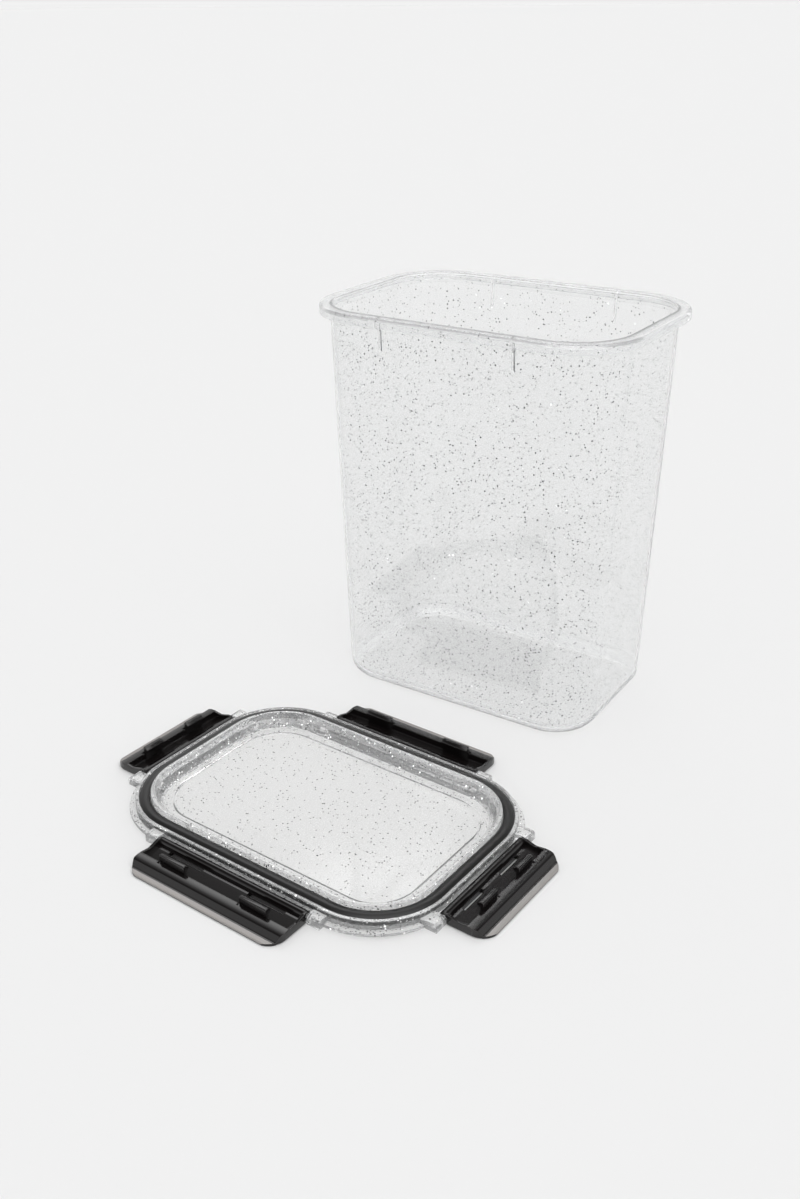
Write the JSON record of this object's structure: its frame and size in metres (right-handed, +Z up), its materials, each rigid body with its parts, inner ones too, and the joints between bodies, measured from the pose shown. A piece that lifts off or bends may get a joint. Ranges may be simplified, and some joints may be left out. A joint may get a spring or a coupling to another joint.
{
  "type": "food storage canister",
  "caption": "Tall clear tapered food canister with a separate gasketed lid that locks with fold-down side flaps, shown open with the lid beside it.",
  "frame": {"origin": "centre of the canister's base, on the surface it stands on", "axes": "+Z up, X along the canister's long side, -Y toward the lid lying in front"},
  "size_m": [0.2614, 0.3592, 0.241],
  "materials": {
    "clear_glitter_plastic": "clear polished plastic with fine silver glitter in it",
    "gasket_rubber": "satin silicone rubber",
    "smoky_black_plastic": "glossy smoky black translucent plastic"
  },
  "bodies": {
    "canister": {"canister_body": "clear_glitter_plastic"},
    "lid": {"lid_shell": "clear_glitter_plastic", "lid_gasket": "gasket_rubber"},
    "flap_front": {"flap_front": "smoky_black_plastic"},
    "flap_back": {"flap_back": "smoky_black_plastic"},
    "flap_left": {"flap_left": "smoky_black_plastic"},
    "flap_right": {"flap_right": "smoky_black_plastic"}
  },
  "joints": [
    {"name": "lid_lift", "type": "slide", "parent": "canister", "child": "lid", "axis": [0, 0, 1], "range_m": [0, 0.3]},
    {"name": "flap_front_hinge", "type": "hinge", "parent": "lid", "child": "flap_front", "pos_m": [-0.00487, -0.26062, 0.0032], "axis": [-0.9982, 0.0593, 0], "range_deg": [0, 92]},
    {"name": "flap_back_hinge", "type": "hinge", "parent": "lid", "child": "flap_back", "pos_m": [0.00387, -0.11338, 0.0032], "axis": [0.9982, -0.0593, 0], "range_deg": [0, 92]},
    {"name": "flap_left_hinge", "type": "hinge", "parent": "lid", "child": "flap_left", "pos_m": [-0.10372, -0.18087, 0.0032], "axis": [0.0593, 0.9982, 0], "range_deg": [0, 92]},
    {"name": "flap_right_hinge", "type": "hinge", "parent": "lid", "child": "flap_right", "pos_m": [0.10272, -0.19313, 0.0032], "axis": [-0.0593, -0.9982, 0], "range_deg": [0, 92]}
  ]
}
